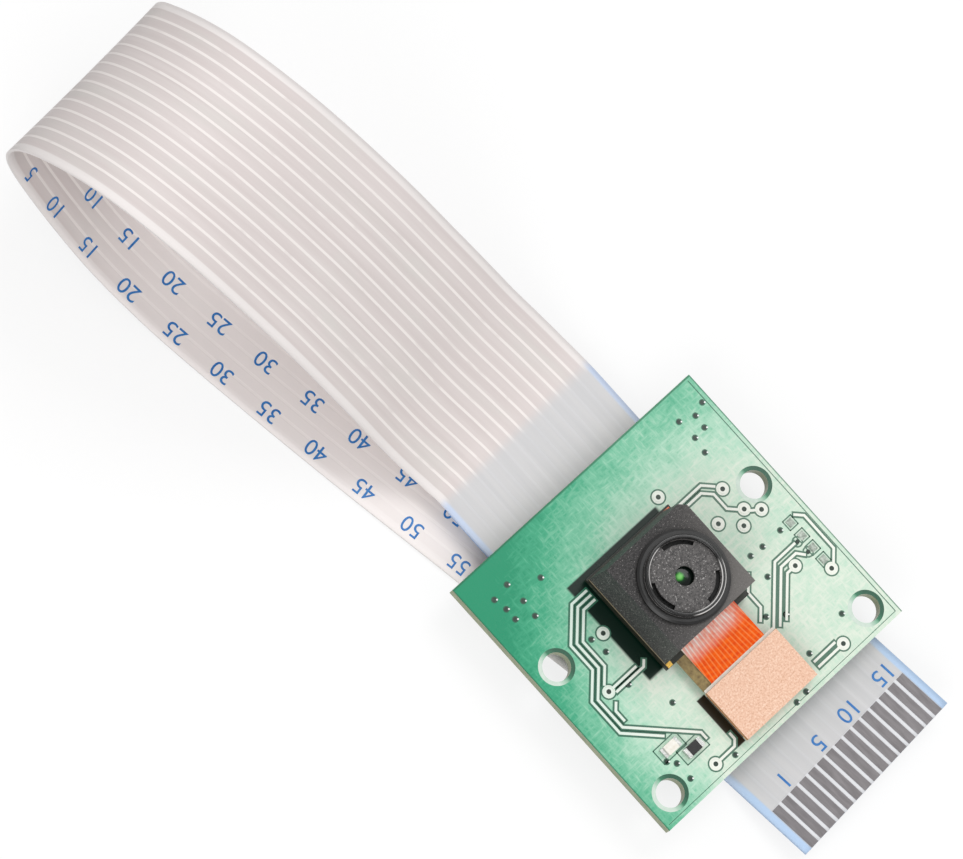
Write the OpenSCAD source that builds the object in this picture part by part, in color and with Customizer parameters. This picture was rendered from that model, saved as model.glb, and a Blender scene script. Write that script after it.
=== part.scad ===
// Camera module on a small circuit board, with its flat ribbon cable fitted.
// Units are millimetres. The origin is the centre of the four mounting holes on
// the board's back face, +Z leaves the lens side, +X runs along the 25 mm width
// and +Y points to the edge where the ribbon cable is fitted.

/* [Circuit board] */
// hole spacing across the board's width
hole_dx = 21; // [20:0.5:26]
// hole spacing along the board's length
hole_dy = 12.5; // [11:0.5:16]
// diameter of the mounting holes
hole_d = 2.2; // [2:0.1:2.8]
// distance from the holes to the side edges and the front edge
hole_edge = 2; // [1.6:0.1:2.4]
// length of the board
board_l = 23.86; // [22:0.02:28]
// thickness of the board
board_t = 1; // [0.8:0.1:1.6]

/* [Camera] */
// sideways position of the camera
cam_x = -0.2; // [-1:0.1:1]
// lengthwise position of the camera
cam_y = 5.2; // [5:0.1:5.4]
// how far the lens axis lies in front of the holder's centre
axis_off = 0.2; // [0:0.05:0.3]
// thickness of the foam pad under the camera
foam_t = 0.4; // [0.3:0.05:0.6]
// thickness of the rigid base plate
base_t = 0.4; // [0.3:0.05:0.6]
// rim of the base plate round the lens holder
base_rim = 0.15; // [0.1:0.05:0.3]
// lip of the base plate in front of the lens holder
base_lip = 0.45; // [0.3:0.05:0.6]
// size of the lens holder at its foot
holder_foot = 8.4; // [8.2:0.05:8.8]
// size of the lens holder at its top
holder_w = 8; // [7.8:0.05:8.1]
// height of the lens holder
holder_h = 4.08; // [3.9:0.02:4.6]
// diameter of the lens barrel
barrel_d = 6.2; // [6:0.05:6.4]
// height the barrel stands out of the holder
barrel_out = 0.9; // [0.6:0.05:1.2]
// height of the collar round the barrel
collar_h = 0.45; // [0.3:0.05:0.55]
// width of the barrel's rim round its recessed front face
rim_w = 0.35; // [0.26:0.01:0.5]
// diameter of the aperture
aperture_d = 1.5; // [1.2:0.05:2]

/* [Camera flex] */
// thickness of the flexible circuit
flex_t = 0.12; // [0.1:0.01:0.2]
// width of the flexible circuit
flex_w = 5.6; // [5:0.1:6]
// width of the copper-coloured stiffener plate
plate_w = 7.4; // [7.2:0.1:8]
// length of the stiffener plate
plate_l = 4.6; // [4.4:0.1:4.8]
// thickness of the stiffener plate
plate_t = 0.3; // [0.2:0.05:0.5]
// lengthwise position of the stiffener plate
plate_y = -4.95; // [-5.2:0.05:-4.8]

/* [Ribbon cable] */
// number of contacts
ways = 15; // [10:1:15]
// contact spacing
pitch = 1; // [0.9:0.05:1]
// width of each bare contact
contact_w = 0.7; // [0.5:0.05:0.75]
// length of each bare contact
contact_l = 4; // [3:0.25:5]
// thickness of the ribbon cable
cable_t = 0.2; // [0.15:0.01:0.25]
// length of each blue end stiffener
stiff_l = 9; // [6:0.5:10]
// thickness of each end stiffener
stiff_t = 0.2; // [0.1:0.01:0.3]

/* [Cable socket] */
// wall of the socket at each side of the cable
sock_wall = 2.4; // [2.2:0.1:2.7]
// height of the socket
sock_h = 2.8; // [2.6:0.05:2.8]
// depth of the socket
sock_l = 4.7; // [4.6:0.05:4.75]
// thickness of the latch's bar
latch_bar = 0.65; // [0.5:0.05:0.7]

/* [Hidden] */
$fn = 64;
hx = hole_dx / 2;
hy = hole_dy / 2;
board_w = hole_dx + 2 * hole_edge;
board_y0 = -hy - hole_edge;
board_y1 = board_y0 + board_l;
// camera stack, from the board up
foam_z = board_t;
base_z = foam_z + foam_t;
flex_z = base_z + base_t;
holder_z = flex_z + flex_t;
holder_top = holder_z + holder_h;
base_y0 = cam_y - holder_foot / 2 - base_lip;
base_y1 = cam_y + holder_foot / 2 + base_rim;
land_w = 0.45;
land_t = 0.03;
axis_y = cam_y - axis_off;
filter_w = 5.6;
filter_t = 0.3;
filter_z = holder_z + 1;
ledge_z = filter_z + filter_t;
window_w = 4.2;
chip_bay = 6.4;
sensor_w = 0.8;
sensor_l = 1.6;
barrel_z = ledge_z + 0.25;
barrel_top = holder_top + barrel_out;
face_z = barrel_top - 0.3;
face_d = barrel_d - 2 * rim_w;
// seats of the three lenses, each step wider than the one in front
rear_r = barrel_d / 2 - 0.6;
seat_step = 0.2;
middle_r = rear_r - seat_step;
front_r = middle_r - seat_step;
slot_w = 0.35;
slot_r = face_d / 2 - slot_w - 0.04;
slot_angle = 57;
slot_deep = 0.35;
lens_top = face_z - 0.7;
lens_mid = lens_top - 0.9;
lens_low = lens_mid - 0.7;
// flex, its stiffener and the board-to-board connector under it
flex_x = cam_x + 0.25;
tape_t = 0.05;
plate_z = flex_z + flex_t + tape_t;
plate_y1 = plate_y + plate_l / 2;
strip_t = 0.12;
strip_w = 0.85;
strip_lap = 0.3;
mate_h = foam_t + base_t;
mate_floor = 0.2;
plug_w = 5.9;
plug_l = 2.9;
mate_gap = 0.05;
// small parts
trace_t = 0.04;
trace_w = 0.2;
chip_l = 1.6;
chip_w = 0.8;
chip_cap = 0.3;
lamp_at = [-board_w / 2 + 4.3, board_y0 + 4.45];
resistor_at = [-board_w / 2 + 5.6, board_y0 + 3.25];
back_caps = [[-7.5, 2.5], [-7.5, 0.5], [-2.5, -5.5], [0.2, -5.5], [5, 6.2], [7.2, 1]];
back_regs = [[-3.2, 1.2], [2.6, 1.2]];
oscillator_at = [5.8, -4.6];
// cable socket on the back
cable_w = (ways + 1) * pitch;
sock_w = cable_w + 2 * sock_wall;
sock_y1 = board_y1 - 0.71;
sock_y0 = sock_y1 - sock_l;
shell_t = 1.1;
blade_t = 0.15;
wire_t = 0.05;
cable_z = -shell_t - wire_t - wire_t - cable_t / 2;
latch_top = cable_z - cable_t / 2 - stiff_t - 0.02;
tongue_t = 0.26;
slot_low = latch_top - tongue_t - 0.04;
cable_y0 = sock_y0 + 0.8;
// the ribbon's lower run lies under the socket
run_z = -sock_h - cable_t / 2;
free_end = [2.8, -16.2, -0.9];
free_back = [-0.05, 0.987, -0.153];
free_turn = 4;
free_roll = 2.5;
free_start = free_end + (stiff_l + 0.5) * free_back;
// ribbon route: x, y, z, turn about Z and roll, from the fitted end to the free end
route = [
    [0, cable_y0, cable_z, 0, 0],
    [0, cable_y0 + stiff_l, cable_z, 0, 0],
    [-0.3, 23.7, -1, 4, 0],
    [-1.3, 27.6, 1.1, 8, 0],
    [-2.9, 32.8, 5.5, 11, -1],
    [-5, 39.6, 10.8, 11, -3],
    [-7.5, 48, 15.5, 11, -5],
    [-9.1, 55.4, 15.8, 8, -6],
    [-9.8, 60.5, 11.5, 5, -5],
    [-9.2, 60.3, 4.8, 5, -2],
    [-8.3, 54, -0.8, 8, -1],
    [-7.6, 47.5, -2.4, 9, 0],
    [-6.7, 41, -2.86, 9.5, 0],
    [-5, 30, run_z, 10, 0],
    [-2.9, 18, run_z, 10, 0],
    [-0.9, 6, run_z, 8, 0],
    [free_start[0], free_start[1], free_start[2], free_turn, free_roll],
    [free_end[0], free_end[1], free_end[2], free_turn, free_roll]
];

// ---- helpers ----

// one point of a smooth curve through four neighbours
function curve(a, b, c, d, t) =
    0.5 * (2 * b + (c - a) * t + (2 * a - 5 * b + 4 * c - d) * t * t
    + (3 * b - a - 3 * c + d) * t * t * t);

// all ring stations: straight at both ends, smooth between
function stations(r, n = 4) =
    let (last = len(r) - 1)
    concat(
        [r[0], 0.05 * r[0] + 0.95 * r[1]],
        [for (i = [1 : last - 2]) for (k = [0 : n - 1])
            curve(r[i - 1], r[i], r[i + 1], r[i + 2], k / n)],
        [r[last - 1], 0.95 * r[last - 1] + 0.05 * r[last], r[last]]
    );

function unit(v) = v / norm(v);
function place(s) = [s[0], s[1], s[2]];
function width_dir(turn, roll) = [cos(roll) * cos(turn), cos(roll) * sin(turn), sin(roll)];
function squared(across, along) = unit(across - (across * along) * along);

// the four corners of the ribbon's section at one station
function section(p, along, across, w, t) =
    let (
        side = squared(across, along),
        up = cross(side, along)
    )
    [
        p - side * w / 2 - up * t / 2,
        p + side * w / 2 - up * t / 2,
        p + side * w / 2 + up * t / 2,
        p - side * w / 2 + up * t / 2
    ];

// a ribbon swept through its stations
module ribbon(st, w, t) {
    last = len(st) - 1;
    pts = [for (i = [0 : last])
        let (
            along = unit(place(st[min(i + 1, last)]) - place(st[max(i - 1, 0)]))
        )
        each section(place(st[i]), along, width_dir(st[i][3], st[i][4]), w, t)];
    sides = [for (i = [0 : last - 1]) for (k = [0 : 3])
        let (a = 4 * i + k, b = 4 * i + (k + 1) % 4)
        each [[a, b, b + 4], [a, b + 4, a + 4]]];
    polyhedron(pts, concat([[3, 2, 1, 0]], sides,
        [[4 * last, 4 * last + 1, 4 * last + 2, 4 * last + 3]]), convexity = 8);
}

// a plain box given by its low corner and size
module box(low, size) {
    translate(low) cube(size);
}

// a box centred in X and Y on a point
module slab(at, z, size) {
    translate([at[0] - size[0] / 2, at[1] - size[1] / 2, z]) cube(size);
}

function left_of(v) = [-v[1], v[0]];

// offset of a polyline's point to one side, mitred at the bends
function side_pt(p, i, off) =
    let (
        n = len(p) - 1,
        d0 = unit(p[max(i, 1)] - p[max(i - 1, 0)]),
        d1 = unit(p[min(i + 1, n)] - p[min(i, n - 1)]),
        m = left_of(d0) + left_of(d1)
    )
    p[i] + m * (2 * off / (m * m));

// a flat copper track along a polyline
module track(p) {
    n = len(p) - 1;
    linear_extrude(trace_t)
        polygon(concat(
            [for (i = [0 : n]) side_pt(p, i, -trace_w / 2)],
            [for (i = [n : -1 : 0]) side_pt(p, i, trace_w / 2)]));
}

module via_land(p) {
    translate(p) cylinder(d = 0.7, h = trace_t, $fn = 24);
}

// a chip component's body between its two end caps, lengthwise along X
module chip_body(at, z, h) {
    slab(at, z, [chip_l - 2 * chip_cap, chip_w, h]);
}

module chip_caps(at, z, h) {
    for (s = [-1, 1])
        slab([at[0] + s * (chip_l - chip_cap) / 2, at[1]], z, [chip_cap, chip_w, h]);
}

// ---- circuit board ----

module circuit_board() color("seagreen")
    difference() {
        box([-board_w / 2, board_y0, 0], [board_w, board_l, board_t]);
        for (x = [-hx, hx]) for (y = [-hy, hy])
            translate([x, y, -1]) cylinder(d = hole_d, h = board_t + 2);
    }

// tracks left of the camera are placed from the left edge, the others from the right edge
module front_traces() color("lightgreen") {
    translate([-board_w / 2, 0, board_t]) {
        track([[7.7, 8.9], [6.1, 8.9], [3.9, 6.7], [3.9, 4.3], [2.2, 2.6], [2.2, -0.5], [4.6, -2.9]]);
        track([[7.7, 8.45], [6.3, 8.45], [4.35, 6.5], [4.35, 4.1], [2.65, 2.4], [2.65, -0.3],
            [6.9, -4.55], [6.9, -5.2]]);
        track([[7.7, 8], [6.5, 8], [4.8, 6.3], [4.8, 3.9], [3.75, 2.85]]);
        track([[3.1, -0.1], [3.1, 0.9], [3.6, 1.4]]);
        track([[4.1, 2.3], [6.6, 2.3]]);
        track([[4.1, 1.9], [7, 1.9], [7.4, 2.3]]);
        track([[6.5, -7], [8.1, -7], [8.5, -6.6], [8.5, -6]]);
        for (p = [[6.4, 5.75], [6.1, -7], [3.7, 2.3]]) via_land(p);
    }
    translate([board_w / 2, 0, board_t]) {
        track([[-7.9, 8.9], [-5.2, 8.9], [-4.4, 8.1]]);
        track([[-7.9, 8.45], [-5.6, 8.45], [-4.9, 7.75], [-4.9, 6.3], [-4.25, 5.65]]);
        track([[-3.75, 5.1], [-3.2, 4.7]]);
        track([[-2.7, 0.95], [-4.9, 0.95], [-8.6, -2.75]]);
        track([[-2.7, -0.25], [-3.2, 0.35], [-4.8, 0.35], [-8, -2.85]]);
        track([[-4.3, -0.3], [-4.75, -0.3], [-7.3, -2.85]]);
        track([[-7, 1.7], [-8.1, 0.6], [-8.1, -0.8], [-8.9, -1.6]]);
        track([[-1.3, 2.6], [-0.7, 2], [-0.7, -1.3], [-1.5, -2.1]]);
        track([[-5.5, -7], [-7.9, -7]]);
        track([[-5.6, -6.5], [-7.9, -6.5]]);
        for (p = [[-8.3, 10.4], [-4.1, 7.6], [-3.9, 5.4], [-2.9, 4.5], [-4.8, 4.5], [-6.2, 5.9],
            [-3.9, -0.3], [-1.9, -2.3], [-5.2, -7]]) via_land(p);
    }
}

module solder_lands() color("silver")
    for (y = [2.3, 1, -0.2, -1.4])
        slab([board_w / 2 - 1.9, y], board_t, [0.55, 0.6, trace_t]);

// ---- camera ----

module foam_pad() color("dimgray")
    slab([cam_x, cam_y], foam_z, [holder_foot - 0.4, holder_foot - 0.4, foam_t]);

module base_plate() color("darkolivegreen")
    box([cam_x - holder_foot / 2 - base_rim, base_y0, base_z],
        [holder_foot + 2 * base_rim, base_y1 - base_y0, base_t]);

module corner_land() color("gold")
    box([cam_x - holder_foot / 2, base_y0 + 0.03, flex_z], [land_w, base_lip - 0.08, land_t]);

module image_sensor() color("midnightblue")
    slab([cam_x, cam_y], holder_z, [sensor_w, sensor_l, 0.5]);

module infrared_filter() color("lightcyan")
    slab([cam_x, cam_y], filter_z, [filter_w, filter_w, filter_t]);

// square outline with one corner cut, marking the first contact
module holder_outline(w, cut) {
    polygon([
        [-w / 2, -w / 2], [w / 2, -w / 2], [w / 2, w / 2 - cut],
        [w / 2 - cut, w / 2], [-w / 2, w / 2]
    ]);
}

module lens_holder() color("#262626")
    difference() {
        union() {
            translate([cam_x, cam_y, 0])
                hull() {
                    translate([0, 0, holder_z]) linear_extrude(0.6) holder_outline(holder_foot, 0.55);
                    translate([0, 0, holder_top - 0.1]) linear_extrude(0.1) holder_outline(holder_w, 0.5);
                }
            translate([cam_x, axis_y, holder_top - 0.2])
                cylinder(d = barrel_d + 0.95, h = collar_h + 0.05);
            translate([cam_x, axis_y, holder_top + collar_h - 0.15])
                cylinder(d1 = barrel_d + 0.95, d2 = barrel_d + 0.6, h = 0.15);
        }
        slab([cam_x, cam_y], holder_z - 1, [chip_bay, chip_bay, filter_z - holder_z + 1]);
        slab([cam_x, cam_y], filter_z - 0.01, [filter_w, filter_w, filter_t + 0.01]);
        slab([cam_x, cam_y], ledge_z - 0.01, [window_w, window_w, barrel_z - ledge_z + 0.02]);
        translate([cam_x, axis_y, barrel_z]) cylinder(d = barrel_d, h = 10);
    }

// outline of half the barrel's section, with rounded rim edges
rim_r = 0.12;
module barrel_section() {
    polygon(concat(
        [[rear_r, barrel_z], [barrel_d / 2, barrel_z]],
        [for (a = [0 : 15 : 90])
            [barrel_d / 2 - rim_r + rim_r * cos(a), barrel_top - rim_r + rim_r * sin(a)]],
        [for (a = [90 : 15 : 180])
            [face_d / 2 + rim_r + rim_r * cos(a), barrel_top - rim_r + rim_r * sin(a)]],
        [[face_d / 2, face_z], [aperture_d / 2, face_z], [aperture_d / 2, face_z - 0.35],
            [aperture_d / 2 + 0.3, face_z - 0.35], [aperture_d / 2 + 0.85, lens_top],
            [front_r, lens_top], [front_r, lens_mid],
            [middle_r, lens_mid], [middle_r, lens_low], [rear_r, lens_low]]));
}

module lens_barrel() color("#151515")
    translate([cam_x, axis_y, 0])
        difference() {
            rotate_extrude() barrel_section();
            for (a = [60, 180, 300])
                rotate([0, 0, a - slot_angle / 2])
                    rotate_extrude(angle = slot_angle)
                        translate([slot_r, face_z - slot_deep])
                            square([slot_w, slot_deep + 0.05]);
        }

// a lens with a flat rim, its two faces bulging by the given heights
module lens(r, z0, z1, up, down) {
    rotate_extrude()
        polygon(concat(
            [for (k = [0 : 6]) [r * 0.7 * sin(15 * k), z1 + up * cos(15 * k)]],
            [[r, z1], [r, z0]],
            [for (k = [6 : -1 : 0]) [r * 0.7 * sin(15 * k), z0 - down * cos(15 * k)]]));
}

module front_lens() color("aliceblue")
    translate([cam_x, axis_y, 0]) lens(front_r, lens_mid, lens_top, 0.25, 0.1);

module middle_lens() color("aliceblue")
    translate([cam_x, axis_y, 0]) lens(middle_r, lens_low, lens_mid, -0.15, 0);

module rear_lens() color("aliceblue")
    translate([cam_x, axis_y, 0]) lens(rear_r, barrel_z, lens_low, -0.1, 0);

// ---- camera flex and its connector ----

module camera_flex() color("orangered")
    translate([0, 0, flex_z])
        linear_extrude(flex_t)
            polygon([
                [cam_x - holder_foot / 2, cam_y - holder_foot / 2],
                [flex_x - flex_w / 2, cam_y - holder_foot / 2],
                [flex_x - flex_w / 2, plate_y1],
                [flex_x - plate_w / 2, plate_y1],
                [flex_x - plate_w / 2, plate_y - plate_l / 2],
                [flex_x + plate_w / 2, plate_y - plate_l / 2],
                [flex_x + plate_w / 2, plate_y1],
                [flex_x + flex_w / 2, plate_y1],
                [flex_x + flex_w / 2, cam_y - holder_foot / 2],
                [cam_x + holder_foot / 2, cam_y - holder_foot / 2],
                [cam_x + holder_foot / 2, cam_y + holder_foot / 2],
                [cam_x - holder_foot / 2, cam_y + holder_foot / 2]
            ]);

module flex_edge_strip() color("#6b5420")
    translate([flex_x - flex_w / 2, 0, flex_z - strip_t])
        linear_extrude(strip_t)
            polygon([
                [-strip_w, base_y0],
                [-strip_w, plate_y1 + 0.2],
                [-strip_w + 0.3, plate_y1 - 0.2],
                [strip_lap, plate_y1 - 0.2],
                [strip_lap, base_y0]
            ]);

module stiffener_tape() color("white")
    slab([flex_x, plate_y + 0.12], flex_z + flex_t, [plate_w - 0.1, plate_l + 0.24, tape_t]);

module stiffener_plate() color("#d9a67c")
    slab([flex_x, plate_y], plate_z, [plate_w, plate_l, plate_t]);

module plug_housing() color("#2b2522")
    difference() {
        slab([flex_x, plate_y], board_t + mate_floor, [plug_w, plug_l, mate_h - mate_floor]);
        slab([flex_x, plate_y], board_t, [plug_w - 0.9, plug_l - 1.7, mate_h * 0.7]);
    }

module socket_housing() color("#1d1a18")
    difference() {
        slab([flex_x, plate_y], board_t, [plug_w + 1.1, plug_l + 1.1, mate_h - 0.1]);
        difference() {
            slab([flex_x, plate_y], board_t + mate_floor,
                [plug_w + 2 * mate_gap, plug_l + 2 * mate_gap, mate_h]);
            slab([flex_x, plate_y], board_t,
                [plug_w - 0.9 - 2 * mate_gap, plug_l - 1.7 - 2 * mate_gap, mate_h * 0.6]);
        }
    }

module socket_contacts() color("gold")
    for (k = [0 : 11]) for (s = [-1, 1])
        slab([flex_x + (k - 5.5) * 0.4, plate_y + s * (plug_l / 2 + 0.7)], board_t, [0.2, 0.3, 0.15]);

// ---- small parts on the front ----

module status_lamp() color("ivory")
    chip_body(lamp_at, board_t, 0.55);

module lamp_resistor() color("#222222")
    chip_body(resistor_at, board_t, 0.45);

module front_end_caps() color("silver") {
    chip_caps(lamp_at, board_t, 0.35);
    chip_caps(resistor_at, board_t, 0.45);
}

// ---- cable socket on the back ----

function way_x(k) = (k - (ways - 1) / 2) * pitch;

module cable_socket() color("linen")
    difference() {
        union() {
            box([-sock_w / 2, sock_y0, -sock_h], [sock_w, 2.1, sock_h]);
            box([-sock_w / 2 + 1, sock_y0, -sock_h], [sock_w - 2, sock_l, sock_h]);
        }
        box([-cable_w / 2 - 0.1, sock_y0 + 0.7, slot_low],
            [cable_w + 0.2, sock_l, -shell_t - slot_low]);
        for (k = [0 : ways - 1])
            box([way_x(k) - 0.2, sock_y0 - 1, -shell_t - 0.1], [0.4, sock_l + 0.5, shell_t + 1]);
    }

// each pin: a foot on the board, a leg down the back wall and a blade on the cable
module cable_socket_pins() color("goldenrod")
    for (k = [0 : ways - 1])
        translate([way_x(k) - 0.15, sock_y0, 0])
            rotate([90, 0, 90])
                linear_extrude(0.3)
                    polygon([
                        [-0.8, 0], [0.6, 0], [0.6, -shell_t - wire_t + 0.2],
                        [3.4, -shell_t - wire_t + blade_t], [3.4, -shell_t - wire_t],
                        [0.9, -shell_t - wire_t], [0.4, -shell_t + 0.05], [0.4, -0.2], [-0.8, -0.2]
                    ]);

module cable_socket_tabs() color("silver")
    for (s = [-1, 1])
        translate([s * (sock_w / 2 + 0.35), sock_y0 + 1.05, 0]) {
            slab([0, 0], -0.2, [0.7, 1.6, 0.2]);
            slab([-s * 0.25, 0], -1.4, [0.2, 1.2, 1.2]);
        }

module cable_latch() color("#1c1c1c")
    union() {
        box([-sock_w / 2 + 0.05, sock_y1, -2.5], [sock_w - 0.1, latch_bar, latch_top + 2.5]);
        box([-cable_w / 2 + 0.1, sock_y0 + 2, latch_top - tongue_t],
            [cable_w - 0.2, sock_l - 1.9, tongue_t]);
        for (s = [-1, 1])
            translate([s * (sock_w / 2 - 0.5), 0, 0])
                box([-0.45, sock_y0 + 2.2, -2.3], [0.9, sock_l - 2.2 + latch_bar, 1.8]);
    }

// ---- small parts on the back ----

module regulators() color("#202020")
    for (p = back_regs)
        slab(p, -1.1, [2.9, 1.6, 1]);

module regulator_leads() color("silver")
    for (p = back_regs) for (s = [-1, 1])
        for (x = (s > 0) ? [-0.95, 0.95] : [-0.95, 0, 0.95])
            translate([p[0] + x, p[1], 0]) {
                slab([0, s * 1.1], -0.5, [0.35, 0.6, 0.15]);
                slab([0, s * 1.32], -0.5, [0.35, 0.16, 0.5]);
                slab([0, s * 1.5], -0.12, [0.35, 0.4, 0.12]);
            }

module oscillator() color("gainsboro")
    slab(oscillator_at, -0.9, [3.2, 2.5, 0.9]);

module bypass_capacitors() color("tan")
    for (p = back_caps)
        chip_body(p, -0.8, 0.8);

module back_end_caps() color("silver")
    for (p = back_caps)
        chip_caps(p, -0.8, 0.8);

// ---- ribbon cable ----

module ribbon_cable() color("#d8ccca")
    ribbon(stations(route), cable_w, cable_t);

module fitted_stiffener() color("#4f86c6")
    box([-cable_w / 2, cable_y0, cable_z - cable_t / 2 - stiff_t], [cable_w, stiff_l, stiff_t]);

module fitted_contacts() color("silver")
    for (k = [0 : ways - 1])
        slab([way_x(k), cable_y0 + contact_l / 2], cable_z + cable_t / 2,
            [contact_w, contact_l, wire_t]);

// places things on the free end: X across the ribbon, Y back along it, Z off its upper face
module at_free_end() {
    back = unit(free_back);
    side = squared(width_dir(free_turn, free_roll), back);
    up = cross(side, back);
    multmatrix([
        [side[0], back[0], up[0], free_end[0]],
        [side[1], back[1], up[1], free_end[1]],
        [side[2], back[2], up[2], free_end[2]]
    ])
        children();
}

module free_stiffener() color("#4f86c6")
    at_free_end()
        box([-cable_w / 2, 0, -cable_t / 2 - stiff_t], [cable_w, stiff_l, stiff_t]);

module free_contacts() color("silver")
    at_free_end()
        for (k = [0 : ways - 1])
            slab([way_x(k), contact_l / 2], cable_t / 2, [contact_w, contact_l, wire_t]);

circuit_board();
front_traces();
solder_lands();
foam_pad();
base_plate();
corner_land();
image_sensor();
infrared_filter();
lens_holder();
lens_barrel();
front_lens();
middle_lens();
rear_lens();
camera_flex();
flex_edge_strip();
stiffener_tape();
stiffener_plate();
plug_housing();
socket_housing();
socket_contacts();
status_lamp();
lamp_resistor();
front_end_caps();
cable_socket();
cable_latch();
cable_socket_pins();
cable_socket_tabs();
regulators();
regulator_leads();
oscillator();
bypass_capacitors();
back_end_caps();
ribbon_cable();
fitted_stiffener();
fitted_contacts();
free_stiffener();
free_contacts();
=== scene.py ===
"""Looks of the camera module with its flat ribbon cable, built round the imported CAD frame."""

import math

import bmesh
import bpy
from mathutils import Matrix, Vector


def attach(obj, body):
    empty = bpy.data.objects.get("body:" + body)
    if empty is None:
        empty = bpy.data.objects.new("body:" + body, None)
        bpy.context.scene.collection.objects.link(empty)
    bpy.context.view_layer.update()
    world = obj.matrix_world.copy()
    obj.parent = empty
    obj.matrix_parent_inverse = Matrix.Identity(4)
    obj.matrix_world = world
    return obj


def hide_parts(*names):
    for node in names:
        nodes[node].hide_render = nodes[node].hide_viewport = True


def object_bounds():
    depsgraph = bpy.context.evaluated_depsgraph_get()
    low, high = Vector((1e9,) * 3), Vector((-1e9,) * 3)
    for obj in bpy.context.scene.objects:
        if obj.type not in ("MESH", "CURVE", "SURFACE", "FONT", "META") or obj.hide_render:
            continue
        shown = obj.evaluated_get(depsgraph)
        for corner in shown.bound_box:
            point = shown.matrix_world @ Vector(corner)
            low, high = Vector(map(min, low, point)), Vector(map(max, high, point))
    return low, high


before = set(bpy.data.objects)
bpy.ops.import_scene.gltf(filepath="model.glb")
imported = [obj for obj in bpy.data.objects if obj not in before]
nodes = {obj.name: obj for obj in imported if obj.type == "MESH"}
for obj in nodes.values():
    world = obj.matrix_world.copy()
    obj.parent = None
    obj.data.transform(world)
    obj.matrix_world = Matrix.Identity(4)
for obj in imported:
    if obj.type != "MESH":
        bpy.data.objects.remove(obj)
cad_low, cad_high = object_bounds()
scene = bpy.context.scene
scene.view_settings.view_transform = "Standard"
MM = 0.001
# millimetres, as in part.scad: the board's thickness and the lens axis
BOARD_T = 1.0
AXIS = (-0.2, 5.0)


# ---- camera ----

CAMERA_TARGET = Vector((-2.51, 22.96, 1.0)) * MM
CAMERA_DISTANCE = 0.42
CAMERA_ANGLES = (-90, 72.3, 47.95)  # azimuth, elevation and roll, in degrees
CAMERA_LENS = 211.8


def add_camera():
    azimuth, elevation, roll = (math.radians(angle) for angle in CAMERA_ANGLES)
    back = Vector((
        math.sin(azimuth) * math.cos(elevation),
        -math.cos(azimuth) * math.cos(elevation),
        math.sin(elevation),
    ))
    right = Vector((0, 0, 1)).cross(back).normalized()
    up = back.cross(right)
    side = math.cos(roll) * right + math.sin(roll) * up
    top = -math.sin(roll) * right + math.cos(roll) * up
    turn = Matrix((side, top, back)).transposed().to_4x4()
    data = bpy.data.cameras.new("camera")
    data.lens = CAMERA_LENS
    data.sensor_width = 36
    data.clip_start = 0.01
    data.clip_end = 20
    camera = bpy.data.objects.new("camera", data)
    scene.collection.objects.link(camera)
    camera.matrix_world = Matrix.Translation(CAMERA_TARGET + CAMERA_DISTANCE * back) @ turn
    scene.camera = camera


add_camera()


# ---- ribbon cable: the route of the CAD part, in millimetres ----

RIBBON_W = 16.0
RIBBON_T = 0.2
RIBBON_COLUMNS = 32
RING_STEPS = 14
END_L = 9.0  # a stiffened end
CONTACT_L = 4.0
FREE_END = Vector((2.8, -16.2, -0.9))
FREE_BACK = Vector((-0.05, 0.987, -0.153))
FREE_START = FREE_END + (END_L + 0.5) * FREE_BACK
# x, y, z, turn about Z and roll, from the fitted end to the free end
ROUTE = [
    (0, 11, -1.3, 0, 0),
    (0, 20, -1.3, 0, 0),
    (-0.3, 23.7, -1, 4, 0),
    (-1.3, 27.6, 1.1, 8, 0),
    (-2.9, 32.8, 5.5, 11, -1),
    (-5, 39.6, 10.8, 11, -3),
    (-7.5, 48, 15.5, 11, -5),
    (-9.1, 55.4, 15.8, 8, -6),
    (-9.8, 60.5, 11.5, 5, -5),
    (-9.2, 60.3, 4.8, 5, -2),
    (-8.3, 54, -0.8, 8, -1),
    (-7.6, 47.5, -2.4, 9, 0),
    (-6.7, 41, -2.86, 9.5, 0),
    (-5, 30, -2.9, 10, 0),
    (-2.9, 18, -2.9, 10, 0),
    (-0.9, 6, -2.9, 8, 0),
    (*FREE_START, 4, 2.5),
    (*FREE_END, 4, 2.5),
]


def smooth(a, b, c, d, t):
    """One value of the smooth curve between b and c."""
    return 0.5 * (
        2 * b + (c - a) * t + (2 * a - 5 * b + 4 * c - d) * t * t
        + (3 * b - a - 3 * c + d) * t ** 3
    )


def ribbon_stations(steps):
    """Rings along the ribbon: place, unit direction, width direction, outer normal, distance."""
    rows = []
    for k in range(steps):
        t = k / steps
        rows.append([ROUTE[0][j] * (1 - t) + ROUTE[1][j] * t for j in range(5)])
    for i in range(1, len(ROUTE) - 2):
        for k in range(steps):
            t = k / steps
            rows.append([
                smooth(ROUTE[i - 1][j], ROUTE[i][j], ROUTE[i + 1][j], ROUTE[i + 2][j], t)
                for j in range(5)
            ])
    for k in range(steps + 1):
        t = k / steps
        rows.append([ROUTE[-2][j] * (1 - t) + ROUTE[-1][j] * t for j in range(5)])
    rings = []
    distance = 0.0
    for i, row in enumerate(rows):
        place = Vector(row[:3])
        ahead = Vector(rows[min(i + 1, len(rows) - 1)][:3])
        behind = Vector(rows[max(i - 1, 0)][:3])
        along = (ahead - behind).normalized()
        turn, roll = math.radians(row[3]), math.radians(row[4])
        across = Vector((
            math.cos(roll) * math.cos(turn), math.cos(roll) * math.sin(turn), math.sin(roll)
        ))
        across = (across - across.dot(along) * along).normalized()
        outer = across.cross(along)
        if i:
            distance += (place - rings[-1][0]).length
        rings.append((place, along, across, outer, distance))
    return rings


RINGS = ribbon_stations(RING_STEPS)
LENGTH = RINGS[-1][4]


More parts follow.
